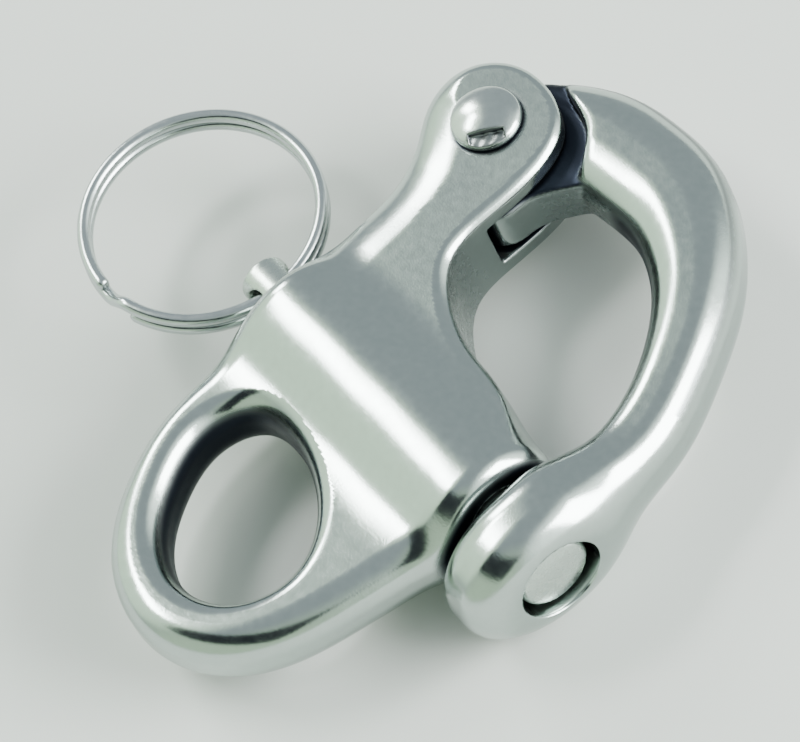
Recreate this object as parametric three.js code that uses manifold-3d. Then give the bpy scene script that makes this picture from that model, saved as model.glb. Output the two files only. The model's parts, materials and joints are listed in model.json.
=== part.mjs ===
// Fixed-eye snap shackle in cast stainless steel, 70 mm long, millimetres.
// X runs along the plunger, from the pull ring towards the gate's boss.
// Y runs from the fixed eye towards the crown of the gate. Z is up, through the thickness.
// The pieces are drawn about the point where the plunger's axis crosses the middle of the barrel.
// The finished group is then moved so that its origin is the middle of its resting footprint.
import * as THREE from 'three';
import { mergeVertices } from 'three/addons/utils/BufferGeometryUtils.js';
import Module from 'manifold-3d';

const wasm = await Module();
wasm.setup();

// Fixed eye: points around its outside, which starts inside the barrel, and around its hole
const EYE_OUTLINE = [
  [15.2, -15.6], [16.2, -9.5], [15.8, -2.5], [8, 3], [-8, 3], [-15.9, -2.5], [-15.9, -9.5],
  [-15.0, -16.2], [-12.4, -22.6], [-6.9, -29.0], [1.6, -31.7], [9.2, -28.8], [13.6, -22.2],
];
const HOLE_OUTLINE = [
  [8.0, -18.5], [6.2, -14.2], [2.0, -10.8], [-3.4, -9.0], [-8.4, -9.9],
  [-10.2, -13.6], [-8.6, -19.2], [-4.8, -23.8], [1.0, -25.9], [6.0, -23.7],
];
const EYE_HALF_THICKNESS = 3.7;
const EYE_ROUNDING = 2.1;

// Barrel that houses the plunger
const BARREL_LEFT_X = -16.2;
const BARREL_RIGHT_X = 16.7;
const BARREL_RADIUS = 7.0;
const BARREL_ROUNDING = 1.6;
const BORE_RADIUS = 4.05;
const BORE_END_X = -12.7;
const ROD_BORE_RADIUS = 2.75;

// Fork and hinge: the neck leaves the barrel and turns left to the ears around the hinge
const HINGE = new THREE.Vector2(-15.3, 24.9);
const FORK_OUTLINE = [
  [14.0, 3.0], [9.5, 7.2], [3.0, 8.3], [-3.0, 10.4], [-6.4, 13.6], [-7.2, 18.5], [-7.6, 24.5],
  [-9.6, 29.3], [-14.4, 31.4], [-19.7, 30.4], [-22.7, 26.6], [-22.4, 22.6], [-19.9, 19.0],
  [-17.7, 14.5], [-17.0, 9.0], [-15.5, 3.0], [0, 1],
];
const EAR_HALF_SPAN = 5.3;
const EAR_ROUNDING = 0.8;
const SLOT_HALF_WIDTH = 2.9;
const SLOT_FLOOR_Y = 17.8;
const RIVET_RADIUS = 2.2;
const RIVET_HOLE_RADIUS = 2.5;
const RIVET_HEAD_RADIUS = 3.5;
const RIVET_HEAD_RIM = 0.8;
const RIVET_HEAD_CROWN = 1.1;
const FACE_GAP = 0.1;

// Gate: points along the middle of its bow, each x, y and half the width there
const BOW = [
  [-13.4, 28.9, 4.9], [-8.0, 31.7, 5.5], [-3.0, 32.6, 5.6], [2.1, 32.6, 5.4], [7.5, 30.7, 4.8],
  [11.2, 28.2, 4.3], [15.2, 23.8, 3.75], [17.5, 20.3, 3.55], [19.5, 16.4, 3.5], [20.8, 11.4, 3.35],
  [20.8, 4.5, 3.0],
];
const GATE_HALF_THICKNESS = 4.5;
const GATE_ROUNDING = 2.4;
const TONGUE_HALF_THICKNESS = 2.6;
const TONGUE_OUTLINE = [
  [-1.8, 28.5], [-3.7, 27.8], [-5.3, 26.2], [-6.6, 24.2], [-7.3, 22.4], [-7.5, 20.2],
  [-8.6, 18.6], [-11.5, 18.4], [-15.0, 18.6], [-18.2, 19.3], [-20.8, 21.8], [-21.6, 25.4],
  [-20.4, 28.6], [-16.5, 31.1], [-10.0, 32.6], [-3.0, 32.5],
];
const SHOULDER_RADIUS = 8.0;
const SHOULDER_SIDE = new THREE.Vector2(-11.5, 26.0);
const SHOULDER_SIDE_RADIUS = 6.0;
const BOSS_BACK_X = 17.7;
const BOSS_FRONT_X = 26.1;
const BOSS_HALF_WIDTH = 9.3;
const BOSS_HALF_HEIGHT = 7.4;
const BOSS_ROUNDING = 2.6;
const PIN_HOLE_RADIUS = 4.3;

// Plunger and its spring
const PIN_RADIUS = 3.75;
const PIN_TIP_X = 25.4;
const PIN_CHAMFER = 0.6;
const PIN_SHOULDER_X = 5.2;
const ROD_RADIUS = 2.45;
const ROD_END_X = -21.8;
const ROD_CHAMFER = 0.3;
const CROSS_HOLE_X = -19.1;
const CROSS_HOLE_RADIUS = 1.7;
const SPRING_WIRE_RADIUS = 0.4;
const SPRING_MEAN_RADIUS = 3.2;
const SPRING_TURNS = 8;
const SPRING_END_GAP = 0.1;
const SPRING_CLOSED_PITCH = 0.84;

// Split ring, two turns of wire side by side
const RING_WIRE_RADIUS = 0.65;
const RING_OUTER_RADIUS = 12.25;
const RING_PITCH = 1.34;
const RING_CROSSOVER_DEG = 278;
const RING_TILT_DEG = 4;
const RING_SLACK_Y = -0.45;
const PLUNGER_ROLL_DEG = -5;
const RING_RAMP_DEG = 7;
const RING_END_GAP_DEG = 9;

// From the drawing point to the middle of the bottom of the whole shackle's box
const FOOTPRINT_CENTRE = new THREE.Vector3(-8.42, 3.31, -7.4);

// Straight pieces around each outline
const EYE_STEPS = 44;
const HOLE_STEPS = 36;
const FORK_STEPS = 56;
const TONGUE_STEPS = 48;

// Longer than anything here, for cuts that run right through
const CLEAR = 50;
const WELD_DISTANCE = 1e-4;

const steel = (name, color, roughness) =>
  new THREE.MeshStandardMaterial({ name, color, roughness, metalness: 1 });

function solidOf(geometry) {
  const bare = geometry.index ? geometry.toNonIndexed() : geometry.clone();
  bare.deleteAttribute('normal');
  bare.deleteAttribute('uv');
  const merged = mergeVertices(bare, WELD_DISTANCE);
  return new wasm.Manifold(new wasm.Mesh({
    numProp: 3,
    vertProperties: new Float32Array(merged.attributes.position.array),
    triVerts: new Uint32Array(merged.index.array),
  }));
}

function meshOf(name, solid, material) {
  const { vertProperties, triVerts } = solid.getMesh();
  const geometry = new THREE.BufferGeometry();
  geometry.setAttribute('position', new THREE.BufferAttribute(new Float32Array(vertProperties), 3));
  geometry.setIndex(new THREE.BufferAttribute(new Uint32Array(triVerts), 1));
  geometry.computeVertexNormals();
  const mesh = new THREE.Mesh(geometry, material);
  mesh.name = name;
  return mesh;
}

// A flat outline given thickness from lowZ to highZ, its rims rounded by the given radius.
function plate(shape, lowZ, highZ, rounding) {
  const geometry = new THREE.ExtrudeGeometry(shape, {
    depth: highZ - lowZ - 2 * rounding,
    bevelEnabled: rounding > 0,
    bevelThickness: rounding,
    bevelSize: rounding,
    bevelOffset: -rounding,
    bevelSegments: 3,
  });
  geometry.translate(0, 0, lowZ + rounding);
  return solidOf(geometry);
}

// A profile of [x, radius] pairs turned around the X axis.
function turnedAboutX(profile, segments = 32) {
  const points = profile.map(([x, radius]) => new THREE.Vector2(radius, x));
  const geometry = new THREE.LatheGeometry(points, segments);
  geometry.rotateZ(-Math.PI / 2);
  return solidOf(geometry);
}

// The profile of a bar along X with both rims rounded.
function roundedBar(startX, endX, radius, rounding, steps = 3) {
  const rim = [];
  for (let i = 0; i <= steps; i++) {
    const angle = (i / steps) * Math.PI / 2;
    rim.push([rounding * (1 - Math.cos(angle)), radius - rounding * (1 - Math.sin(angle))]);
  }
  const start = rim.map(([inset, r]) => [startX + inset, r]);
  const end = rim.map(([inset, r]) => [endX - inset, r]).reverse();
  return [[startX, 0], ...start, ...end, [endX, 0]];
}

// A plain bar along X, for bores and the pin's clearance hole.
function boreAlongX(startX, endX, radius, segments = 32) {
  return turnedAboutX([[startX, 0], [startX, radius], [endX, radius], [endX, 0]], segments);
}

function boreAlongZ(centre, lowZ, highZ, radius, segments = 32) {
  const geometry = new THREE.CylinderGeometry(radius, radius, highZ - lowZ, segments);
  geometry.rotateX(Math.PI / 2);
  geometry.translate(centre.x, centre.y, (lowZ + highZ) / 2);
  return solidOf(geometry);
}

function block(low, high) {
  const geometry = new THREE.BoxGeometry(high[0] - low[0], high[1] - low[1], high[2] - low[2]);
  geometry.translate((low[0] + high[0]) / 2, (low[1] + high[1]) / 2, (low[2] + high[2]) / 2);
  return solidOf(geometry);
}

// A round wire along a curve, closed at both ends.
function wire(curve, radius, steps, sides) {
  const section = new THREE.Shape();
  section.absarc(0, 0, radius, 0, 2 * Math.PI);
  const geometry = new THREE.ExtrudeGeometry(section, {
    steps,
    curveSegments: sides / 2,
    extrudePath: curve,
  });
  return solidOf(geometry);
}

// ---------- body: fixed eye, barrel and fork in one casting ----------

// A smooth closed outline through the given points.
function smoothOutline(pairs, divisions) {
  const points = pairs.map(([x, y]) => new THREE.Vector3(x, y, 0));
  const curve = new THREE.CatmullRomCurve3(points, true, 'centripetal');
  return curve.getPoints(divisions).slice(1).map(({ x, y }) => new THREE.Vector2(x, y));
}

function eyeShape() {
  const shape = new THREE.Shape(smoothOutline(EYE_OUTLINE, EYE_STEPS));
  shape.holes.push(new THREE.Path(smoothOutline(HOLE_OUTLINE, HOLE_STEPS)));
  return shape;
}

function makeBody() {
  const eye = plate(eyeShape(), -EYE_HALF_THICKNESS, EYE_HALF_THICKNESS, EYE_ROUNDING);
  const barrel = turnedAboutX(
    roundedBar(BARREL_LEFT_X, BARREL_RIGHT_X, BARREL_RADIUS, BARREL_ROUNDING), 36);
  const neck = new THREE.Shape(smoothOutline(FORK_OUTLINE, FORK_STEPS));
  const fork = plate(neck, -EAR_HALF_SPAN, EAR_HALF_SPAN, EAR_ROUNDING);
  const slot = block([-CLEAR, SLOT_FLOOR_Y, -SLOT_HALF_WIDTH], [CLEAR, CLEAR, SLOT_HALF_WIDTH]);
  const bore = boreAlongX(BORE_END_X, CLEAR, BORE_RADIUS);
  const rodBore = boreAlongX(-CLEAR, 0, ROD_BORE_RADIUS, 24);
  const hingeHole = boreAlongZ(HINGE, -CLEAR, CLEAR, RIVET_HOLE_RADIUS, 24);
  return eye
    .add(barrel)
    .add(fork.subtract(slot))
    .subtract(bore)
    .subtract(rodBore)
    .subtract(hingeHole);
}

// ---------- gate: tongue, bow and boss ----------

// The bow's square ends are kept longer than the rounding of its rims.
function bowShape(samples = 26, squareEnd = 0.1) {
  const middle = new THREE.CatmullRomCurve3(BOW.map(([x, y, w]) => new THREE.Vector3(x, y, w)));
  const outer = [];
  const inner = [];
  for (let i = -1; i <= samples + 1; i++) {
    const isEnd = i < 0 || i > samples;
    const t = isEnd ? Math.max(Math.sign(i), 0) : squareEnd + (1 - 2 * squareEnd) * i / samples;
    const point = middle.getPoint(t);
    const along = middle.getTangent(t).setZ(0).normalize();
    outer.push(new THREE.Vector2(point.x - along.y * point.z, point.y + along.x * point.z));
    inner.push(new THREE.Vector2(point.x + along.y * point.z, point.y - along.x * point.z));
  }
  return new THREE.Shape([...outer.reverse(), ...inner]);
}

function makeGate() {
  const bow = plate(bowShape(), -GATE_HALF_THICKNESS, GATE_HALF_THICKNESS, GATE_ROUNDING);
  const boss = turnedAboutX(
    roundedBar(BOSS_BACK_X, BOSS_FRONT_X, BOSS_HALF_WIDTH, BOSS_ROUNDING), 36,
  ).scale([1, 1, BOSS_HALF_HEIGHT / BOSS_HALF_WIDTH]);
  const shoulder = boreAlongZ(HINGE, -CLEAR, CLEAR, SHOULDER_RADIUS, 40)
    .add(boreAlongZ(SHOULDER_SIDE, -CLEAR, CLEAR, SHOULDER_SIDE_RADIUS));
  const outline = new THREE.Shape(smoothOutline(TONGUE_OUTLINE, TONGUE_STEPS));
  const tongue = plate(outline, -TONGUE_HALF_THICKNESS, TONGUE_HALF_THICKNESS, 0);
  const rivetHole = boreAlongZ(HINGE, -CLEAR, CLEAR, RIVET_HOLE_RADIUS, 24);
  const pinHole = boreAlongX(0, CLEAR, PIN_HOLE_RADIUS);
  return bow
    .add(boss)
    .subtract(shoulder)
    .add(tongue)
    .subtract(rivetHole)
    .subtract(pinHole);
}

// ---------- the small pieces ----------

function makeRivet() {
  const seat = EAR_HALF_SPAN + FACE_GAP;
  const rim = seat + RIVET_HEAD_RIM;
  const upper = [[RIVET_RADIUS, 0], [RIVET_RADIUS, seat], [RIVET_HEAD_RADIUS, seat]];
  for (let i = 0; i < 4; i++) {
    const angle = (i / 4) * Math.PI / 2;
    upper.push([RIVET_HEAD_RADIUS * Math.cos(angle), rim + RIVET_HEAD_CROWN * Math.sin(angle)]);
  }
  upper.push([0, rim + RIVET_HEAD_CROWN]);
  const lower = upper.slice(1).map(([r, z]) => [r, -z]).reverse();
  const points = [...lower, ...upper].map(([r, z]) => new THREE.Vector2(r, z));
  const geometry = new THREE.LatheGeometry(points, 28);
  geometry.rotateX(Math.PI / 2);
  geometry.translate(HINGE.x, HINGE.y, 0);
  return solidOf(geometry);
}

function makePlunger() {
  const body = turnedAboutX([
    [ROD_END_X, 0],
    [ROD_END_X, ROD_RADIUS - ROD_CHAMFER],
    [ROD_END_X + ROD_CHAMFER, ROD_RADIUS],
    [PIN_SHOULDER_X, ROD_RADIUS],
    [PIN_SHOULDER_X, PIN_RADIUS],
    [PIN_TIP_X - PIN_CHAMFER, PIN_RADIUS],
    [PIN_TIP_X, PIN_RADIUS - PIN_CHAMFER],
    [PIN_TIP_X, 0],
  ]);
  const drill = new THREE.CylinderGeometry(CROSS_HOLE_RADIUS, CROSS_HOLE_RADIUS, CLEAR, 20);
  drill.translate(CROSS_HOLE_X, 0, 0);
  return body.subtract(solidOf(drill));
}

// Ground, closed end turns and open turns between them.
class SpringCurve extends THREE.Curve {
  getPoint(t, target = new THREE.Vector3()) {
    const low = BORE_END_X + SPRING_END_GAP + SPRING_WIRE_RADIUS;
    const high = PIN_SHOULDER_X - SPRING_END_GAP - SPRING_WIRE_RADIUS;
    const closedTurn = 1 / SPRING_TURNS;
    const middle = (t - closedTurn) / (1 - 2 * closedTurn);
    let x = low + SPRING_CLOSED_PITCH + middle * (high - low - 2 * SPRING_CLOSED_PITCH);
    if (t < closedTurn) x = low + SPRING_CLOSED_PITCH * t / closedTurn;
    if (t > 1 - closedTurn) x = high - SPRING_CLOSED_PITCH * (1 - t) / closedTurn;
    const angle = 2 * Math.PI * SPRING_TURNS * t;
    return target.set(x, SPRING_MEAN_RADIUS * Math.cos(angle), SPRING_MEAN_RADIUS * Math.sin(angle));
  }
}

function makeSpring() {
  return wire(new SpringCurve(), SPRING_WIRE_RADIUS, 120, 6);
}

// Two flat turns; the wire steps from one to the other between its own two ends.
class SplitRingCurve extends THREE.Curve {
  getPoint(t, target = new THREE.Vector3()) {
    const radius = RING_OUTER_RADIUS - RING_WIRE_RADIUS;
    const turned = RING_END_GAP_DEG + t * (720 - 2 * RING_END_GAP_DEG);
    const step = THREE.MathUtils.clamp((turned - 360) / RING_RAMP_DEG, -1, 1);
    const angle = THREE.MathUtils.degToRad(RING_CROSSOVER_DEG + turned);
    return target.set(
      -radius + radius * Math.cos(angle),
      radius * Math.sin(angle),
      0.5 * RING_PITCH * step,
    );
  }
}

function makeSplitRing() {
  const ring = wire(new SplitRingCurve(), RING_WIRE_RADIUS, 96, 8);
  return ring.rotate([0, RING_TILT_DEG, 0]).translate([CROSS_HOLE_X, RING_SLACK_Y, 0]);
}

// The plunger turns freely in its barrel, so the cross hole and its ring lie a little rolled.
const rolled = [PLUNGER_ROLL_DEG, 0, 0];

const shackle = new THREE.Group();
shackle.name = 'snap_shackle';
shackle.add(
  meshOf('body', makeBody(), steel('cast_steel', 0x9aa6a4, 0.22)),
  meshOf('gate', makeGate(), steel('cast_steel', 0x9aa6a4, 0.2)),
  meshOf('hinge_rivet', makeRivet(), steel('rivet_steel', 0xaab4b2, 0.16)),
  meshOf('plunger', makePlunger().rotate(rolled), steel('turned_steel', 0xb4c0b6, 0.25)),
  meshOf('plunger_spring', makeSpring(), steel('spring_steel', 0x8d9492, 0.3)),
  meshOf('split_ring', makeSplitRing().rotate(rolled), steel('wire_steel', 0xaab4b4, 0.2)),
);
shackle.position.copy(FOOTPRINT_CENTRE).negate();

export default shackle;
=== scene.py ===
"""Snap shackle in polished cast stainless steel: fine surfaces, materials, studio and camera.

The two castings, the rivet and the plunger are modelled as implicit solids in millimetres, about the
drawing's point, where the plunger's axis crosses the middle of the barrel. Each solid is a function that is
negative inside, and it is turned into a mesh whose points lie exactly on the surface.
"""
import json
import math

import bpy
import numpy as np
from mathutils import Matrix, Vector


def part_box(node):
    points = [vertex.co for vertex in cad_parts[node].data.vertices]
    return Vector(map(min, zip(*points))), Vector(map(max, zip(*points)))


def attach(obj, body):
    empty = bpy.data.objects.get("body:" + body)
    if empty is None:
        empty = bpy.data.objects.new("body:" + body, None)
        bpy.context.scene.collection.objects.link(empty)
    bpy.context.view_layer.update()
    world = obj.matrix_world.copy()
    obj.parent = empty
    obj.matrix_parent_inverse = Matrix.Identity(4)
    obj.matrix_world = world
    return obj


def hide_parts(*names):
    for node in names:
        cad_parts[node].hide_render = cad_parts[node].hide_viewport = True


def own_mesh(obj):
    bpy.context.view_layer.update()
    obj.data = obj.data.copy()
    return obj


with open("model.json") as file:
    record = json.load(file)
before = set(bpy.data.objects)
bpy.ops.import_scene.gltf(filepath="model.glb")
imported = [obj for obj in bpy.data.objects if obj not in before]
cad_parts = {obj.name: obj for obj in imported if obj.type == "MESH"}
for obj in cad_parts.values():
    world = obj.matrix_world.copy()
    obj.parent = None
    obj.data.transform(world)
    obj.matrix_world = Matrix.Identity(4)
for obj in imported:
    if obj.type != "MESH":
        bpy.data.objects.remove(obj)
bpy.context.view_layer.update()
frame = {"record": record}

# ---------- driving dimensions, in millimetres ----------

HINGE = (-15.3, 24.9)          # the rivet's axis in the drawing
FULL_PITCH = 0.27              # mesh pitch of the castings

JOINTS = {joint["name"]: joint for joint in frame["record"]["behaviour"]["joints"]}
hinge_point = Vector(JOINTS["gate_swing"]["pos_m"]) * 1000
ORIGIN = hinge_point - Vector((HINGE[0], HINGE[1], 0))
RING_AXIS = Vector(JOINTS["ring_swing"]["axis"])
ROLL = math.atan2(RING_AXIS.z, RING_AXIS.y)


def node_box(node):
    """Lowest and highest corner of a CAD node in the drawing's millimetres."""
    low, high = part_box(node)
    return low * 1000 - ORIGIN, high * 1000 - ORIGIN


BODY_LOW, BODY_HIGH = node_box("body")
GATE_LOW, GATE_HIGH = node_box("gate")
RIVET_LOW, RIVET_HIGH = node_box("hinge_rivet")
PLUNGER_LOW, PLUNGER_HIGH = node_box("plunger")
SPRING_LOW, SPRING_HIGH = node_box("plunger_spring")
RING_LOW, RING_HIGH = node_box("split_ring")


# ---------- smooth curves ----------


class Curve:
    """A natural or closed cubic spline through points. The first two channels are x and y."""

    def __init__(self, points, closed=False):
        values = np.array(points, float)
        if closed:
            values = np.vstack([values, values[:1]])
        steps = np.hypot(*np.diff(values[:, :2], axis=0).T)
        self.closed = closed
        self.values = values
        self.knots = np.concatenate([[0.0], np.cumsum(steps)])
        self.bends = self._second_derivatives(steps)
        x, y = values[:, 0], values[:, 1]
        self.turn = np.sign(np.sum(x[:-1] * y[1:] - x[1:] * y[:-1]))

    def _second_derivatives(self, steps):
        n = len(self.values)
        slopes = np.diff(self.values, axis=0) / steps[:, None]
        system = np.zeros((n, n))
        right = np.zeros_like(self.values)
        for i in range(1, n - 1):
            system[i, i - 1:i + 2] = steps[i - 1], 2 * (steps[i - 1] + steps[i]), steps[i]
            right[i] = 6 * (slopes[i] - slopes[i - 1])
        if self.closed:
            system[0, 0], system[0, n - 1] = 1, -1
            system[n - 1, 0], system[n - 1, 1] = 2 * steps[0], steps[0]
            system[n - 1, n - 2] = steps[-1]
            system[n - 1, n - 1] = 2 * steps[-1]
            right[n - 1] = 6 * (slopes[0] - slopes[-1])
        else:
            system[0, 0] = system[n - 1, n - 1] = 1
        return np.linalg.solve(system, right)

    def at(self, t):
        """Values, first and second derivatives at the parameters t, channels last."""
        i = np.clip(np.searchsorted(self.knots, t, side="right") - 1, 0, len(self.knots) - 2)
        step = (self.knots[i + 1] - self.knots[i])[..., None]
        a = self.knots[i + 1][..., None] - t[..., None]
        b = t[..., None] - self.knots[i][..., None]
        m0, m1 = self.bends[i], self.bends[i + 1]
        p0, p1 = self.values[i] / step - m0 * step / 6, self.values[i + 1] / step - m1 * step / 6
        value = (m0 * a ** 3 + m1 * b ** 3) / (6 * step) + p0 * a + p1 * b
        slope = (m1 * b ** 2 - m0 * a ** 2) / (2 * step) + p1 - p0
        return value, slope, (m0 * a + m1 * b) / step

    def nearest(self, x, y, tries=44, rounds=3):
        """Parameter of the nearest point of the curve to each x, y."""
        x, y = np.broadcast_arrays(x, y)
        ts = np.linspace(0, self.knots[-1], tries)
        starts = self.at(ts)[0]
        best = np.full(x.shape, np.inf)
        t = np.zeros(x.shape)
        for value, parameter in zip(starts, ts):
            distance = (x - value[0]) ** 2 + (y - value[1]) ** 2
            closer = distance < best
            best = np.where(closer, distance, best)
            t = np.where(closer, parameter, t)
        span = self.knots[-1]
        for _ in range(rounds):
            value, slope, bend = self.at(t)
            ex, ey = value[..., 0] - x, value[..., 1] - y
            speed = slope[..., 0] ** 2 + slope[..., 1] ** 2
            top = ex * slope[..., 0] + ey * slope[..., 1]
            curving = speed + ex * bend[..., 0] + ey * bend[..., 1]
            move = np.clip(top / np.maximum(curving, 0.2 * speed), -span / tries, span / tries)
            t = (t - move) % span if self.closed else np.clip(t - move, 0, span)
        return t

    def across(self, x, y):
        """Signed distance to the curve, positive on its left, and the values at the nearest point."""
        t = self.nearest(x, y)
        value, slope, _ = self.at(t)
        ex, ey = x - value[..., 0], y - value[..., 1]
        side = np.sign(slope[..., 0] * ey - slope[..., 1] * ex)
        return np.where(side == 0, 1, side) * np.hypot(ex, ey), value

    def outside(self, x, y):
        """Signed distance to a closed curve, negative inside."""
        return -self.turn * self.across(x, y)[0]


# ---------- implicit solids ----------


def join(a, b, size):
    """Union whose inner corner is rounded over about the given size."""
    near = np.maximum(size - np.abs(a - b), 0) / size
    return np.minimum(a, b) - near ** 3 * size / 6


def keep(a, b, size):
    """Intersection with a rounded outer corner."""
    return -join(-a, -b, size)


def cut(a, b, size):
    """a without b."""
    return keep(a, -b, size)


def rounded(side, face, side_round, face_round, fullness=2.0):
    """A plate's edge, rounded as an ellipse at fullness 2 and nearer to a bevel below it.

    side and face are the distances past the plate's two surfaces.
    """
    u = np.maximum(side / side_round + 1, 0)
    v = np.maximum(face / face_round + 1, 0)
    inner = np.minimum(np.maximum(side, face), 0)
    size = np.minimum(side_round, face_round)
    reach = (u ** fullness + v ** fullness) ** (1 / fullness)
    return np.where((u > 0) | (v > 0), (reach - 1) * size, inner)


def smooth_step(low, high, value):
    t = np.clip((value - low) / (high - low), 0, 1)
    return t * t * (3 - 2 * t)


def wobble(x, y, z, size, phase):
    """A gentle unevenness of hand polishing, from -1 to 1, about size millimetres long."""
    k = 2 * math.pi / size
    a = np.sin(k * (0.9 * x + 0.5 * y + 0.2 * z) + phase)
    b = np.sin(k * (-0.4 * x + 0.8 * y - 0.6 * z) + 2.1 * phase)
    c = np.sin(k * (0.3 * x - 0.6 * y + 1.1 * z) + 3.7 * phase)
    return (a + b + c) / 3


def gradient(solid, points, reach=0.01):
    slopes = np.empty_like(points)
    for axis in range(3):
        shift = np.zeros(3)
        shift[axis] = reach
        slopes[:, axis] = (solid(*(points + shift).T) - solid(*(points - shift).T)) / (2 * reach)
    return slopes


def value_and_slope(solid, points, reach=0.005):
    """The solid's value at each point and, from one-sided steps, its slope."""
    here = solid(*points.T)
    steps = [solid(*(points + reach * np.eye(3)[axis]).T) for axis in range(3)]
    return here, np.stack([(step - here) / reach for step in steps], axis=1)


CORNERS = [(i, j, k) for i in (0, 1) for j in (0, 1) for k in (0, 1)]
EDGES = [(a, b) for a in range(8) for b in range(a + 1, 8)
         if sum(abs(p - q) for p, q in zip(CORNERS[a], CORNERS[b])) == 1]


def surface_net(solid, low, high, pitch):
    """Points and four-cornered faces of the solid's surface, one point in each cell it passes."""
    margin = 2 * pitch
    axes = [np.arange(a - margin, b + margin + pitch, pitch) for a, b in zip(low, high)]
    x, y, z = np.meshgrid(*axes, indexing="ij", sparse=True)
    values = np.broadcast_to(solid(x, y, z), [len(a) for a in axes])
    inside = values < 0
    cells = tuple(n - 1 for n in values.shape)

    def corner(array, offset):
        return array[tuple(slice(o, o + n) for o, n in zip(offset, cells))]

    count = sum(corner(inside, offset).astype(np.int8) for offset in CORNERS)
    mixed = (count > 0) & (count < 8)
    number = np.full(cells, -1, np.int64)
    number[mixed] = np.arange(mixed.sum())
    index = np.argwhere(mixed)
    at_corner = [corner(values, offset)[mixed] for offset in CORNERS]
    total = np.zeros((len(index), 3))
    crossings = np.zeros(len(index))
    for a, b in EDGES:
        va, vb = at_corner[a], at_corner[b]
        crossed = (va < 0) != (vb < 0)
        t = np.where(crossed, va / np.where(crossed, va - vb, 1), 0)
        ends = np.array(CORNERS[a], float), np.array(CORNERS[b], float)
        total += np.where(crossed[:, None], ends[0] + t[:, None] * (ends[1] - ends[0]), 0)
        crossings += crossed
    start = np.array([a[0] for a in axes])
    points = start + (index + total / crossings[:, None]) * pitch

    faces = []
    for axis in range(3):
        u, v = (axis + 1) % 3, (axis + 2) % 3
        head = [slice(1, n - 1) for n in values.shape]
        tail = list(head)
        head[axis], tail[axis] = slice(0, -1), slice(1, None)
        goes_in = ~inside[tuple(head)] & inside[tuple(tail)]
        goes_out = inside[tuple(head)] & ~inside[tuple(tail)]
        for crossed, order in ((goes_out, (0, 1, 2, 3)), (goes_in, (3, 2, 1, 0))):
            base = np.argwhere(crossed)
            base[:, u] += 1
            base[:, v] += 1
            around = []
            for du, dv in ((-1, -1), (0, -1), (0, 0), (-1, 0)):
                cell = base.copy()
                cell[:, u] += du
                cell[:, v] += dv
                around.append(number[tuple(cell.T)])
            faces.append(np.stack([around[i] for i in order], axis=1))
    return points, np.vstack(faces)


def settle(solid, points, pitch, rounds):
    """Moves the points straight onto the surface."""
    for _ in range(rounds):
        here, slope = value_and_slope(solid, points)
        size = np.maximum((slope ** 2).sum(1), 1e-6)
        move = (here / size)[:, None] * slope
        length = np.linalg.norm(move, axis=1, keepdims=True)
        points = points - move * np.minimum(1, 0.6 * pitch / np.maximum(length, 1e-9))
    return points


def even_out(points, faces):
    """Moves each point to the middle of its neighbours."""
    total = np.zeros_like(points)
    count = np.zeros(len(points))
    for a, b in ((0, 1), (1, 2), (2, 3), (3, 0)):
        for source, target in ((a, b), (b, a)):
            count += np.bincount(faces[:, target], minlength=len(points))
            for axis in range(3):
                weights = points[faces[:, source], axis]
                total[:, axis] += np.bincount(faces[:, target], weights, minlength=len(points))
    return total / np.maximum(count, 1)[:, None]


NEIGHBOURS_AGREE = 0.97         # length of the mean of the neighbours' normals
STRAY_BELOW = 0.97              # cosine between a stray point's normal and that mean


def settle_strays(points, normals, faces):
    """Puts a lone point whose neighbours agree with each other, but not with it, back among them."""
    around = even_out(normals, faces)
    agreement = np.linalg.norm(around, axis=1)
    around = around / np.maximum(agreement, 1e-9)[:, None]
    stray = (agreement > NEIGHBOURS_AGREE) & ((around * normals).sum(1) < STRAY_BELOW)
    stray = stray[:, None]
    return np.where(stray, even_out(points, faces), points), np.where(stray, around, normals)


def mesh_object(name, points, faces, normals):
    """A Blender object from points in the drawing's millimetres and faces of equal size."""
    mesh = bpy.data.meshes.new(name)
    count, corners = faces.shape
    mesh.vertices.add(len(points))
    mesh.vertices.foreach_set("co", ((points + np.array(ORIGIN)) / 1000).astype(np.float32).ravel())
    mesh.loops.add(count * corners)
    mesh.loops.foreach_set("vertex_index", faces.astype(np.int32).ravel())
    mesh.polygons.add(count)
    mesh.polygons.foreach_set("loop_start", np.arange(0, count * corners, corners, dtype=np.int32))
    mesh.update(calc_edges=True)
    mesh.validate()
    mesh.shade_smooth()
    mesh.normals_split_custom_set_from_vertices(normals)
    thing = bpy.data.objects.new(name, mesh)
    bpy.context.scene.collection.objects.link(thing)
    return thing


def solid_object(name, solid, low, high, pitch):
    points, faces = surface_net(solid, low, high, pitch)
    points = settle(solid, points, pitch, rounds=1)
    points = settle(solid, even_out(points, faces), pitch, rounds=3)
    slope = gradient(solid, points)
    normals = slope / np.maximum(np.linalg.norm(slope, axis=1, keepdims=True), 1e-9)
    points, normals = settle_strays(points, normals, faces)
    thing = mesh_object(name, points, faces, normals)
    # painted shade: how dark the gaps, hollows and inner walls are painted is stored on each point for the
    # material
    shade = np.maximum(closeness(points, normals), painted_wall_shade(points, normals))
    painted_shade = thing.data.attributes.new("painted_shade", "FLOAT", "POINT")
    painted_shade.data.foreach_set("value", shade.astype(np.float32))
    return thing


# ---------- body ----------

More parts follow.
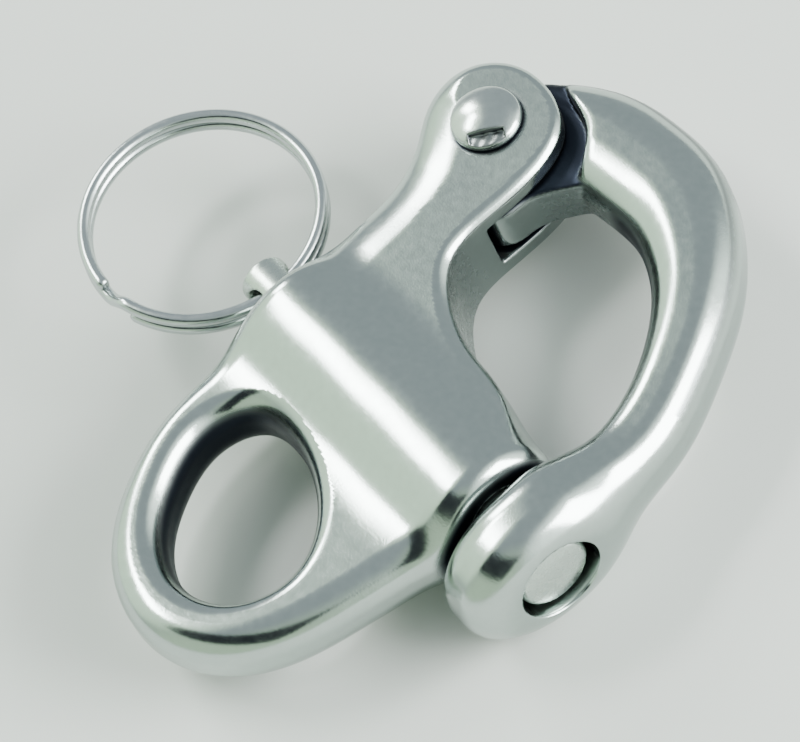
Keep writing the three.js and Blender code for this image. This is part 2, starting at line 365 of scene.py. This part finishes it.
EYE_OUTLINE = Curve([
    (15.2, -15.6), (16.2, -9.5), (15.8, -2.5), (8, 3), (-8, 3), (-15.9, -2.5), (-15.9, -9.5),
    (-15.0, -16.2), (-12.4, -22.6), (-6.9, -29.0), (1.6, -31.7), (9.2, -28.8), (13.6, -22.2),
], closed=True)
HOLE_OUTLINE = Curve([
    (8.0, -18.5), (6.2, -14.2), (2.0, -10.8), (-3.4, -9.0), (-8.4, -9.9),
    (-10.2, -13.6), (-8.6, -19.2), (-4.8, -23.8), (1.0, -25.9), (6.0, -23.7),
], closed=True)
EYE_HALF = 3.7
EYE_OUTER_RIM = 3.0
EYE_INNER_RIM = 2.3
EYE_RIM_DEPTH = 3.1
EYE_LEAST_HALF_WIDTH = 1.0
BARREL_ENDS = (-16.2, 16.7)
BARREL_RADIUS = 7.0
BARREL_RIM = 2.1
EAR_HALF = 5.3
SLOT_HALF = 2.9
SLOT_FLOOR = 17.8
SLOT_EDGE = 0.6
BORE_RADIUS = 4.05
BORE_END = -12.7
ROD_BORE_RADIUS = 2.75
RIVET_HOLE_RADIUS = 2.5
BORE_EDGE = 0.5
EYE_FILLET = 5.5
NECK_FILLET = 3.0
NECK_BEVEL_WIDEST = 5.6
NECK_FULLNESS = 1.5

# Outline of the neck and ears, each point with the depth of the bevelled rim there.
FORK_OUTLINE = Curve([
    (14.0, 3.0, 1.6), (9.5, 7.2, 1.4), (3.0, 8.3, 1.1), (-3.0, 10.4, 1.0), (-6.4, 13.6, 0.9),
    (-7.2, 18.5, 0.9), (-7.6, 24.5, 0.9), (-9.6, 29.3, 0.7), (-14.4, 31.4, 0.7), (-19.7, 30.4, 0.9),
    (-22.7, 26.6, 1.3), (-22.4, 22.6, 1.9), (-19.9, 19.0, 2.2), (-17.7, 14.5, 2.4),
    (-17.0, 9.0, 2.4), (-15.5, 3.0, 2.3), (0, 1, 2.0),
], closed=True)


def bar_along_x(x, y, z, start, end, radius, rounding):
    side = np.hypot(y, z) - radius
    length = np.maximum(start - x, x - end)
    return rounded(side, length, rounding, rounding)


def eye_solid(x, y, z):
    outer = -EYE_OUTLINE.outside(x, y)
    hole = HOLE_OUTLINE.outside(x, y)
    half_width = np.maximum((outer + hole) / 2, EYE_LEAST_HALF_WIDTH)
    face = np.abs(z) - EYE_HALF
    outside = rounded(-outer, face, np.minimum(half_width, EYE_OUTER_RIM), EYE_RIM_DEPTH)
    inside = rounded(-hole, face, np.minimum(half_width, EYE_INNER_RIM), EYE_RIM_DEPTH)
    return np.maximum(outside, inside)


def fork_solid(x, y, z):
    """The neck and ears before they are slotted. The deeper a rim is, the flatter its bevel."""
    side, value = FORK_OUTLINE.across(x, y)
    rim = value[..., 2]
    bevel = np.minimum(rim * (1 + 0.26 * rim * rim), NECK_BEVEL_WIDEST)
    return rounded(-side * FORK_OUTLINE.turn, np.abs(z) - EAR_HALF, bevel, rim, NECK_FULLNESS)


def body_solid(x, y, z):
    barrel = bar_along_x(x, y, z, *BARREL_ENDS, BARREL_RADIUS, BARREL_RIM)
    solid = join(barrel, eye_solid(x, y, z), EYE_FILLET)
    slot = keep(np.abs(z) - SLOT_HALF, SLOT_FLOOR - y, SLOT_EDGE)
    fork = cut(fork_solid(x, y, z), slot, 0.5)
    solid = join(solid, fork, NECK_FILLET)
    bore = np.maximum(np.hypot(y, z) - BORE_RADIUS, BORE_END - x)
    rod_bore = np.maximum(np.hypot(y, z) - ROD_BORE_RADIUS, x)
    hinge_hole = np.hypot(x - HINGE[0], y - HINGE[1]) - RIVET_HOLE_RADIUS
    for hole in (bore, rod_bore, hinge_hole):
        solid = cut(solid, hole, BORE_EDGE)
    return solid + 0.02 * wobble(x, y, z, 9, 0.4)


# ---------- gate ----------

# Middle of the bow: x, y, half width and half thickness.
BOW = Curve([
    (-13.4, 28.9, 4.9, 4.5), (-8.0, 31.7, 5.5, 4.6), (-3.0, 32.6, 5.6, 4.6), (2.1, 32.6, 5.4, 4.6),
    (7.5, 30.7, 4.8, 4.5), (11.2, 28.2, 4.3, 4.4), (15.2, 23.8, 3.75, 4.2), (17.5, 20.3, 3.55, 4.1),
    (19.5, 16.4, 3.5, 4.1), (20.8, 11.4, 3.35, 4.3), (20.8, 4.5, 3.0, 5.0),
])
TONGUE_OUTLINE = Curve([
    (-1.8, 28.5), (-3.7, 27.8), (-5.3, 26.2), (-6.6, 24.2), (-7.3, 22.4), (-7.5, 20.2),
    (-8.6, 18.6), (-11.5, 18.4), (-15.0, 18.6), (-18.2, 19.3), (-20.8, 21.8), (-21.6, 25.4),
    (-20.4, 28.6), (-16.5, 31.1), (-10.0, 32.6), (-3.0, 32.5),
], closed=True)
TONGUE_HALF = 2.6
SHOULDER_RADIUS = 8.0
SHOULDER_SIDE = (-11.5, 26.0, 6.0)      # a second round cut on the side of the bow: x, y, radius
BOSS_ENDS = (17.7, 25.9)
BOSS_HALF_WIDTH = 9.3
BOSS_HALF_HEIGHT = 7.3
BOSS_RIM = 3.4
BOSS_FILLET = 5.0
BOW_FULLNESS = 0.85             # how much of the bow's half width its rounding takes
SHOULDER_EDGE = 1.5
TONGUE_EDGE = 0.5
TONGUE_FILLET = 0.6
PIN_HOLE_RADIUS = 4.3
PIN_HOLE_START = 10


def gate_solid(x, y, z):
    side, value = BOW.across(x, y)
    width, height = value[..., 2], value[..., 3]
    rims = width * BOW_FULLNESS, height * BOW_FULLNESS
    bow = rounded(np.abs(side) - width, np.abs(z) - height, *rims)
    radius = np.hypot(y / BOSS_HALF_WIDTH, z / BOSS_HALF_HEIGHT)
    boss_side = (radius - 1) * BOSS_HALF_HEIGHT
    boss_end = np.maximum(BOSS_ENDS[0] - x, x - BOSS_ENDS[1])
    boss = rounded(boss_side, boss_end, BOSS_RIM, BOSS_RIM)
    solid = join(bow, boss, BOSS_FILLET)
    from_hinge = np.hypot(x - HINGE[0], y - HINGE[1])
    from_side = np.hypot(x - SHOULDER_SIDE[0], y - SHOULDER_SIDE[1]) - SHOULDER_SIDE[2]
    shoulder = join(from_hinge - SHOULDER_RADIUS, from_side, 1.0) + 0.04 * wobble(x, y, z, 2.4, 0.7)
    solid = cut(solid, keep(shoulder, TONGUE_HALF - np.abs(z), 0.4), SHOULDER_EDGE)
    cheek = np.abs(z) - TONGUE_HALF
    tongue = rounded(TONGUE_OUTLINE.outside(x, y), cheek, TONGUE_EDGE, TONGUE_EDGE)
    solid = join(solid, tongue, TONGUE_FILLET)
    solid = cut(solid, from_hinge - RIVET_HOLE_RADIUS, 0.4)
    pin_hole = np.maximum(np.hypot(y, z) - PIN_HOLE_RADIUS, PIN_HOLE_START - x)
    return cut(solid, pin_hole, 0.5) + 0.02 * wobble(x, y, z, 8, 1.3)


# ---------- rivet and plunger ----------

EAR_GAP = 0.1
RIVET_RADIUS = 2.2
HEAD_RADIUS = 3.5
HEAD_RIM = 0.8
HEAD_CROWN = 1.1
DENT_WAY = (0.84, -0.54)       # towards the dent that the peening left in the upper head
DENT_START = 2.05
DENT_HALF_WIDTH = 1.7
DENT_FLOOR = 6.2


def dent_solid(x, y, z):
    out = (x - HINGE[0]) * DENT_WAY[0] + (y - HINGE[1]) * DENT_WAY[1]
    along = (y - HINGE[1]) * DENT_WAY[0] - (x - HINGE[0]) * DENT_WAY[1]
    sides = np.maximum(DENT_START - out, np.abs(along) - DENT_HALF_WIDTH)
    return keep(sides, DENT_FLOOR + 0.08 * wobble(x, y, z, 1.0, 0.9) - z, 0.2)


def rivet_solid(x, y, z):
    radius = np.hypot(x - HINGE[0], y - HINGE[1])
    shank = np.maximum(radius - RIVET_RADIUS, np.abs(z) - 6)
    seat = EAR_HALF + EAR_GAP
    ball = (HEAD_RADIUS ** 2 + HEAD_CROWN ** 2) / (2 * HEAD_CROWN)
    dome = np.hypot(radius, np.abs(z) - (seat + HEAD_RIM + HEAD_CROWN - ball)) - ball
    head = keep(keep(radius - HEAD_RADIUS, dome, 0.5), seat - np.abs(z), 0.1)
    return cut(join(shank, head, 0.1), dent_solid(x, y, z), 0.25)


PIN_RADIUS = 3.75
PIN_SHOULDER = 5.2
PIN_RIM = 0.55
PIN_CROWN = 0.5                # how far the tip's rim stands back from its middle
ROD_RADIUS = 2.45
CROSS_HOLE_X = -19.1
CROSS_HOLE_RADIUS = 1.7


def plunger_solid(x, y, z):
    along_ring = z * math.cos(ROLL) - y * math.sin(ROLL)
    rod = bar_along_x(x, y, z, PLUNGER_LOW.x, PIN_SHOULDER + 1, ROD_RADIUS, 0.35)
    crown = PIN_CROWN * (y * y + z * z) / PIN_RADIUS ** 2
    length = np.maximum(PIN_SHOULDER - x, x + crown - PLUNGER_HIGH.x)
    pin = rounded(np.hypot(y, z) - PIN_RADIUS, length, PIN_RIM, PIN_RIM)
    drilled = np.hypot(x - CROSS_HOLE_X, along_ring) - CROSS_HOLE_RADIUS
    return cut(join(rod, pin, 0.2), drilled, 0.3)


# ---------- painted shade in gaps, inner corners and hollows ---

CLOSE_STEPS = (0.5, 1.1, 2.2)     # how far ahead of the surface to look for a neighbour
PLUNGER_SHADE = 0.15                      # share of the painted shade kept on the sliding plunger


def closeness(points, normals):
    """Painted shade: 0 on open surfaces, rising to 1 in gaps and inner corners of the closed shackle; the
    sliding plunger keeps only a small share.
    """
    hidden = np.zeros(len(points))
    for step in CLOSE_STEPS:
        ahead = (points + normals * step).T
        free = np.minimum(body_solid(*ahead), gate_solid(*ahead))
        free = np.minimum(free, rivet_solid(*ahead))
        hidden += 1 - np.clip(free / step, 0, 1)
    x, y, z = points.T
    sliding = np.hypot(y, z) < np.where(x > PIN_SHOULDER, PIN_RADIUS, ROD_RADIUS) + 0.1
    return np.where(sliding, PLUNGER_SHADE, 1) * smooth_step(0.28, 0.72, hidden / len(CLOSE_STEPS))


def painted_wall_shade(points, normals):
    """Painted shade, up to 1, on the inner walls of eye and bow, the walls by the fork, the tongue's cheeks
    and the rivet's dent.
    """
    x, y, z = points.T
    upright = smooth_step(0.78, 0.97, np.hypot(normals[:, 0], normals[:, 1]))
    in_eye = smooth_step(1.6, 0.7, HOLE_OUTLINE.outside(x, y))
    by_fork = smooth_step(1.0, 0.3, -FORK_OUTLINE.outside(x, y)) * smooth_step(7, 9, y)
    by_fork = 0.4 * by_fork * smooth_step(-8.5, -6.5, x) * smooth_step(9, 6, x)
    side, value = BOW.across(x, y)
    in_bow = smooth_step(0.5, 0.9, -side / value[..., 2]) * smooth_step(7, 10, y) * smooth_step(-3, 1, x)
    walls = upright * np.maximum(np.maximum(in_eye, by_fork), in_bow)
    cheeks = smooth_step(TONGUE_HALF + 0.5, TONGUE_HALF + 0.1, np.abs(z)) * (y > SLOT_FLOOR)
    cheeks = cheeks * smooth_step(0.2, 0.8, np.abs(normals[:, 2]))
    dent = smooth_step(0.25, 0.05, dent_solid(x, y, z)) * (y > SLOT_FLOOR)
    return np.maximum(np.maximum(walls, cheeks), 0.6 * dent * (z > DENT_FLOOR - 0.3))


# ---------- wires ----------


def swept_wire(name, middle, across_one, across_two, radius, sides=16):
    """A round wire along points with two directions across it, its ends slightly rounded."""
    angles = np.linspace(0, 2 * math.pi, sides, endpoint=False)
    count = len(middle)
    size = np.full(count, radius)
    size[0] = size[-1] = radius * 0.8
    one = np.cos(angles)[None, :, None] * across_one[:, None]
    two = np.sin(angles)[None, :, None] * across_two[:, None]
    points = (middle[:, None] + (one + two) * size[:, None, None]).reshape(-1, 3)
    points = np.vstack([points, middle[:1], middle[-1:]])
    faces = []
    for i in range(count - 1):
        for j in range(sides):
            k = (j + 1) % sides
            faces.append((i * sides + j, i * sides + k, (i + 1) * sides + k, (i + 1) * sides + j))
    first, last = len(points) - 2, len(points) - 1
    for j in range(sides):
        k = (j + 1) % sides
        end = (count - 1) * sides
        faces.append((first, k, j, first))
        faces.append((last, end + j, end + k, last))
    mesh = bpy.data.meshes.new(name)
    places = (points + np.array(ORIGIN)) / 1000
    mesh.from_pydata(places.tolist(), [], [tuple(dict.fromkeys(face)) for face in faces])
    mesh.shade_smooth()
    thing = bpy.data.objects.new(name, mesh)
    bpy.context.scene.collection.objects.link(thing)
    return thing


RING_WIRE = 0.65
RING_OUTER = 12.25
RING_PITCH = 1.34
RING_CROSSOVER = math.radians(278)
RING_TILT = math.radians(4)
RING_SLACK = -0.45            # the ring hangs a little to one side in the cross hole
RING_RAMP = 7
RING_GAP = 9


def rolled_about_x(points, angle):
    c, s = math.cos(angle), math.sin(angle)
    x, y, z = points.T
    return np.stack([x, y * c - z * s, y * s + z * c], axis=1)


def make_ring():
    radius = RING_OUTER - RING_WIRE
    turned = np.linspace(RING_GAP, 720 - RING_GAP, 400)
    step = np.clip((turned - 360) / RING_RAMP, -1, 1)
    angle = RING_CROSSOVER + np.radians(turned)
    out = np.stack([np.cos(angle), np.sin(angle), 0 * angle], axis=1)
    middle = out * radius + np.array([-radius, 0, 0])
    middle[:, 2] = 0.5 * RING_PITCH * np.sin(step * math.pi / 2)
    up = np.tile([0.0, 0.0, 1.0], (len(middle), 1))
    tilt_c, tilt_s = math.cos(RING_TILT), math.sin(RING_TILT)

    def placed(points):
        x, y, z = points.T
        tilted = np.stack([x * tilt_c + z * tilt_s, y, z * tilt_c - x * tilt_s], axis=1)
        return rolled_about_x(tilted, ROLL)

    middle[:, 1] += RING_SLACK
    middle = placed(middle) + np.array([CROSS_HOLE_X, 0, 0])
    return swept_wire("pull_ring", middle, placed(out), placed(up), RING_WIRE)


SPRING_WIRE = 0.4
SPRING_MEAN = 3.2
SPRING_TURNS = 8
SPRING_CLOSED_PITCH = 0.84


def make_spring():
    t = np.linspace(0, 1, 480)
    low, high = SPRING_LOW.x + SPRING_WIRE, SPRING_HIGH.x - SPRING_WIRE
    closed = 1 / SPRING_TURNS
    x = np.interp(t, [0, closed, 1 - closed, 1],
                  [low, low + SPRING_CLOSED_PITCH, high - SPRING_CLOSED_PITCH, high])
    angle = 2 * math.pi * SPRING_TURNS * t
    out = np.stack([0 * t, np.cos(angle), np.sin(angle)], axis=1)
    middle = out * SPRING_MEAN
    middle[:, 0] = x
    along = np.gradient(middle, axis=0)
    along /= np.linalg.norm(along, axis=1, keepdims=True)
    return swept_wire("coil_spring", middle, out, np.cross(along, out), SPRING_WIRE, sides=10)


# ---------- materials ----------


# painted shade: the near-black colour and the extra roughness given where shade is painted in gaps and
# hollows
PAINTED_SHADE_COLOUR = (0.018, 0.022, 0.032)
PAINTED_SHADE_ROUGHNESS = 0.25
MOTTLE_MM = 0.8
GRAIN_MM = 0.22
GRAIN_STRENGTH = 0.3
GRAIN_DEPTH_M = 0.00002


def mixed(tree, factor, below, above):
    """A colour between two others, each a colour of its own or another node's output."""
    mix = tree.nodes.new("ShaderNodeMix")
    mix.data_type = "RGBA"
    tree.links.new(factor, mix.inputs["Factor"])
    for socket, value in (("A", below), ("B", above)):
        if isinstance(value, tuple):
            mix.inputs[socket].default_value = (*value, 1)
        else:
            tree.links.new(value, mix.inputs[socket])
    return mix.outputs["Result"]


def steel(name, colour, roughness):
    """Polished steel with a slightly uneven tint and polish, a fine grain, and painted shade, darker and
    rougher, where the mesh's shade attribute marks it.
    """
    material = bpy.data.materials.new(name)
    material.use_nodes = True
    tree = material.node_tree
    nodes, links = tree.nodes, tree.links
    shader = nodes["Principled BSDF"]
    shader.inputs["Metallic"].default_value = 1.0
    place = nodes.new("ShaderNodeTexCoord")
    painted_shade = nodes.new("ShaderNodeAttribute")
    painted_shade.attribute_name = "painted_shade"

    def noise(size_mm, detail):
        node = nodes.new("ShaderNodeTexNoise")
        node.inputs["Scale"].default_value = 1000 / size_mm
        node.inputs["Detail"].default_value = detail
        links.new(place.outputs["Object"], node.inputs["Vector"])
        return node.outputs["Fac"]

    mottle = noise(MOTTLE_MM, 6)
    tinted = mixed(tree, mottle, tuple(c * 0.93 for c in colour), tuple(c * 1.05 for c in colour))
    # painted shade: the tint is mixed towards a near-black colour where the shade attribute is high
    links.new(mixed(tree, painted_shade.outputs["Fac"], tinted, PAINTED_SHADE_COLOUR), shader.inputs["Base Color"])
    polish = nodes.new("ShaderNodeMapRange")
    polish.inputs["From Min"].default_value = 0.3
    polish.inputs["From Max"].default_value = 0.7
    polish.inputs["To Min"].default_value = roughness * 0.85
    polish.inputs["To Max"].default_value = roughness * 1.15
    links.new(mottle, polish.inputs["Value"])
    dull = nodes.new("ShaderNodeMath")
    dull.operation = "MULTIPLY_ADD"
    links.new(painted_shade.outputs["Fac"], dull.inputs[0])
    dull.inputs[1].default_value = PAINTED_SHADE_ROUGHNESS
    links.new(polish.outputs["Result"], dull.inputs[2])
    links.new(dull.outputs["Value"], shader.inputs["Roughness"])
    bump = nodes.new("ShaderNodeBump")
    bump.inputs["Strength"].default_value = GRAIN_STRENGTH
    bump.inputs["Distance"].default_value = GRAIN_DEPTH_M
    links.new(noise(GRAIN_MM, 3), bump.inputs["Height"])
    links.new(bump.outputs["Normal"], shader.inputs["Normal"])
    return material


# ---------- assembly ----------


def finish_piece(thing, material, body, node):
    thing.data.materials.append(material)
    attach(thing, body)
    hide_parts(node)


PITCH = FULL_PITCH

cast = steel("polished_casting", (0.44, 0.495, 0.475), 0.17)
cast_gate = steel("polished_casting_gate", (0.44, 0.495, 0.475), 0.17)
turned_metal = steel("turned_bar", (0.52, 0.58, 0.54), 0.27)
rivet_metal = steel("peened_rivet", (0.52, 0.57, 0.55), 0.2)
wire_metal = steel("bright_wire", (0.50, 0.54, 0.54), 0.22)
spring_metal = steel("spring_wire", (0.45, 0.48, 0.48), 0.3)

casting = solid_object("casting", body_solid, BODY_LOW, BODY_HIGH, PITCH)
finish_piece(casting, cast, "frame", "body")
bow_gate = solid_object("bow_gate", gate_solid, GATE_LOW, GATE_HIGH, PITCH)
finish_piece(bow_gate, cast_gate, "gate", "gate")
rivet = solid_object("rivet", rivet_solid, RIVET_LOW, RIVET_HIGH, PITCH * 0.5)
finish_piece(rivet, rivet_metal, "frame", "hinge_rivet")
pin = solid_object("locking_pin", plunger_solid, PLUNGER_LOW, PLUNGER_HIGH, PITCH * 0.6)
finish_piece(pin, turned_metal, "plunger", "plunger")
pull_ring = make_ring()
finish_piece(pull_ring, wire_metal, "ring", "split_ring")
spring = make_spring()
finish_piece(spring, spring_metal, "frame", "plunger_spring")
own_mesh(spring)

# ---------- studio ----------

# The camera: where it stands around the shackle, in degrees, and what it looks at, in millimetres
# right of and above the drawing's point as it sees them.
VIEW_AZIMUTH = -13.3
VIEW_ELEVATION = 54.8
VIEW_ROLL = -28.7
VIEW_DISTANCE = 600
VIEW_LENS = 289.7
AIM_RIGHT = 0.37
AIM_UP = 3.82

ROOM_GREY = (0.57, 0.65, 0.68)
WALL_SOFT = (1.65, 2.05, 1.6)
WALL_FRONT = (0.95, 1.2, 0.9)
WALL_BRIGHT = (2.7, 3.0, 2.8)
BAND_DARK = (0.03, 0.035, 0.045)
BAND_START = (258, 50)
BAND_END = (333, 27)
BAND_HALF_WIDTH = 0.20
BAND_SOFTNESS = 0.05
FLOOR_COLOUR = (0.57, 0.60, 0.57)
FLOOR_HALF_SIZE = 1.5


def direction(azimuth, elevation):
    """A direction as seen from the shackle: azimuth from +X towards +Y, both in degrees."""
    a, e = math.radians(azimuth), math.radians(elevation)
    return Vector((math.cos(a) * math.cos(e), math.sin(a) * math.cos(e), math.sin(e)))


def make_camera():
    data = bpy.data.cameras.new("camera")
    data.sensor_width = 36
    data.lens = VIEW_LENS
    data.clip_start, data.clip_end = 0.05, 10
    camera = bpy.data.objects.new("camera", data)
    back = direction(VIEW_AZIMUTH, VIEW_ELEVATION)
    level = direction(VIEW_AZIMUTH + 90, 0)
    right = Matrix.Rotation(math.radians(VIEW_ROLL), 3, back) @ level
    up = back.cross(right)
    place = (ORIGIN + AIM_RIGHT * right + AIM_UP * up + VIEW_DISTANCE * back) / 1000
    turn = Matrix((right, up, back)).transposed().to_4x4()
    camera.matrix_world = Matrix.Translation(place) @ turn
    bpy.context.scene.collection.objects.link(camera)
    bpy.context.scene.camera = camera


def make_floor():
    size = FLOOR_HALF_SIZE
    mesh = bpy.data.meshes.new("floor")
    corners = [(-size, -size, 0), (size, -size, 0), (size, size, 0), (-size, size, 0)]
    mesh.from_pydata(corners, [], [(0, 1, 2, 3)])
    floor = bpy.data.objects.new("floor", mesh)
    material = bpy.data.materials.new("pale_floor")
    material.use_nodes = True
    shader = material.node_tree.nodes["Principled BSDF"]
    shader.inputs["Base Color"].default_value = (*FLOOR_COLOUR, 1)
    shader.inputs["Roughness"].default_value = 0.9
    mesh.materials.append(material)
    bpy.context.scene.collection.objects.link(floor)


def make_light(name, towards, distance, size, power):
    """A rectangular light in the given direction, facing the shackle. Its distance is in metres."""
    data = bpy.data.lights.new(name, "AREA")
    data.shape = "RECTANGLE"
    data.size, data.size_y = size
    data.energy = power
    light = bpy.data.objects.new(name, data)
    light.location = towards * distance
    light.rotation_mode = "QUATERNION"
    light.rotation_quaternion = towards.to_track_quat("Z", "Y")
    bpy.context.scene.collection.objects.link(light)


def make_world():
    """A grey room with a paler wall on each side and a dark band towards the viewer."""
    world = bpy.data.worlds.new("studio")
    world.use_nodes = True
    tree = world.node_tree
    nodes, links = tree.nodes, tree.links
    place = nodes.new("ShaderNodeTexCoord")

    def along(towards):
        """The cosine of the angle between the direction looked in and the given one."""
        dot = nodes.new("ShaderNodeVectorMath")
        dot.operation = "DOT_PRODUCT"
        dot.inputs[1].default_value = towards
        links.new(place.outputs["Generated"], dot.inputs[0])
        return dot.outputs["Value"]

    def ramp(value, low, high):
        """A smooth rise from 0 to 1."""
        node = nodes.new("ShaderNodeMapRange")
        node.interpolation_type = "SMOOTHSTEP"
        node.inputs["From Min"].default_value = low
        node.inputs["From Max"].default_value = high
        links.new(value, node.inputs["Value"])
        return node.outputs["Result"]

    def patch(towards, outer, inner):
        """From 0 at the outer angle to 1 inside the inner angle, in degrees."""
        return ramp(along(towards), math.cos(math.radians(outer)), math.cos(math.radians(inner)))

    def math_node(operation, *values):
        node = nodes.new("ShaderNodeMath")
        node.operation = operation
        for value, socket in zip(values, node.inputs):
            links.new(value, socket)
        return node.outputs["Value"]

    colour = mixed(tree, patch(direction(212, 33), 42, 26), ROOM_GREY, WALL_SOFT)
    colour = mixed(tree, patch(direction(300, 0), 75, 35), colour, WALL_FRONT)
    colour = mixed(tree, patch(direction(42, 12), 55, 24), colour, WALL_BRIGHT)
    first, last = direction(*BAND_START), direction(*BAND_END)
    across = math_node("ABSOLUTE", along(first.cross(last).normalized()))
    width = ramp(across, BAND_HALF_WIDTH + BAND_SOFTNESS, BAND_HALF_WIDTH)
    middle = (first + last).normalized()
    half_length = math.degrees(first.angle(last)) / 2
    length = patch(middle, half_length + 12, half_length + 8)
    colour = mixed(tree, math_node("MULTIPLY", width, length), colour, BAND_DARK)
    links.new(colour, nodes["Background"].inputs["Color"])
    nodes["Background"].inputs["Strength"].default_value = 1.0
    bpy.context.scene.world = world


make_camera()
make_floor()
make_world()
make_light("strip_left", direction(203, 52.3), 1.6, (0.71, 0.28), 17)
make_light("strip_low", direction(179, 32), 1.6, (0.34, 0.55), 14)
make_light("window_right", direction(41, 20), 0.8, (0.50, 0.60), 22)
